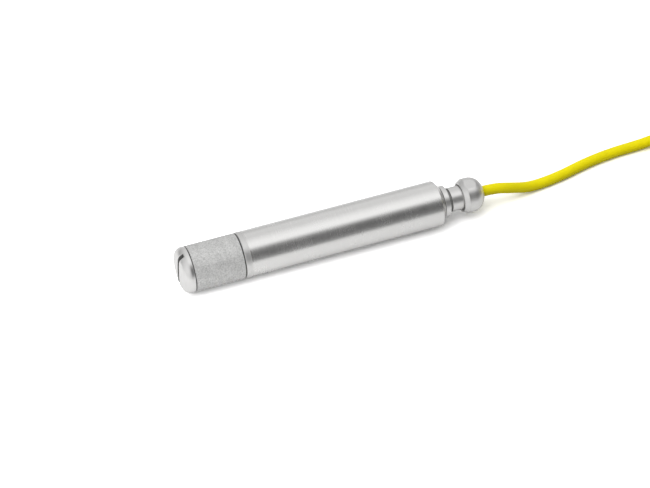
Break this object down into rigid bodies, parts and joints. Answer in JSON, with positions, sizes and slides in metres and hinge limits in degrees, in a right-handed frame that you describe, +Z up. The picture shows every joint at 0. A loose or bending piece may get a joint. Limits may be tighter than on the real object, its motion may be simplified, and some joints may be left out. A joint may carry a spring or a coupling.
{
  "type": "submersible water level sensor",
  "caption": "Slim stainless steel hydrostatic level probe with slotted nose cap, sintered filter band, domed cable gland nut and yellow vented cable ending in a tied hank.",
  "frame": {"origin": "under the middle of the metal body, on the floor it lies on, without the cable", "axes": "+X along the probe from the nose to the cable, +Z up"},
  "size_m": [0.5086, 0.064, 0.0462],
  "materials": {
    "steel": "fine ground stainless steel",
    "sintered_steel": "sintered stainless steel, matte and granular",
    "gasket": "black rubber",
    "o_ring": "black rubber",
    "ceramic": "white alumina ceramic",
    "board": "green solder mask",
    "clip_plastic": "natural polyamide",
    "chip": "black epoxy",
    "capacitor": "aluminium can",
    "arrester": "glazed ceramic with metal ends",
    "terminal": "green terminal block",
    "tinned_copper": "tinned copper",
    "core_insulation": "coloured core insulation",
    "vent_plastic": "translucent polyamide",
    "sheath": "yellow polyurethane sheath",
    "tie": "black polyamide"
  },
  "bodies": {
    "housing": {"rear_gasket": "gasket", "pressure_port": "steel", "cell_o_ring": "o_ring", "cell_diaphragm": "ceramic", "pressure_cell": "ceramic", "cell_retainer": "steel", "body_tube": "steel", "circuit_board": "board", "front_board_clip": "clip_plastic", "rear_board_clip": "clip_plastic", "signal_chips": "chip", "buffer_capacitor": "capacitor", "surge_arresters": "arrester", "terminal_block": "terminal", "cell_leads": "tinned_copper", "retaining_ring": "steel", "tail_plug": "steel", "plug_o_rings": "o_ring", "gland_seal": "o_ring", "gland_washer": "steel", "gland_nut": "steel", "cable_inner": "sheath", "crimp_sleeve": "steel", "cable_cores": "core_insulation", "vent_tube": "vent_plastic", "cable": "sheath", "cable_hank": "sheath", "core_ends": "core_insulation", "core_ferrules": "tinned_copper", "near_hank_tie": "tie", "far_hank_tie": "tie"},
    "filter_pack": {"filter_sleeve": "sintered_steel", "front_gasket": "gasket"},
    "cap": {"nose_cap": "steel"}
  },
  "joints": [
    {"name": "filter_slide", "type": "slide", "parent": "housing", "child": "filter_pack", "axis": [-1, 0, 0], "range_m": [0, 0.0075]},
    {"name": "cap_screw", "type": "hinge", "parent": "filter_pack", "child": "cap", "pos_m": [-0.0896, 0, 0.014], "axis": [-1, 0, 0], "range_deg": [0, 1800]}
  ],
  "couplings": [
    {"joint": "cap_screw", "follows": "filter_slide", "rad_per_m": 4188.8}
  ]
}
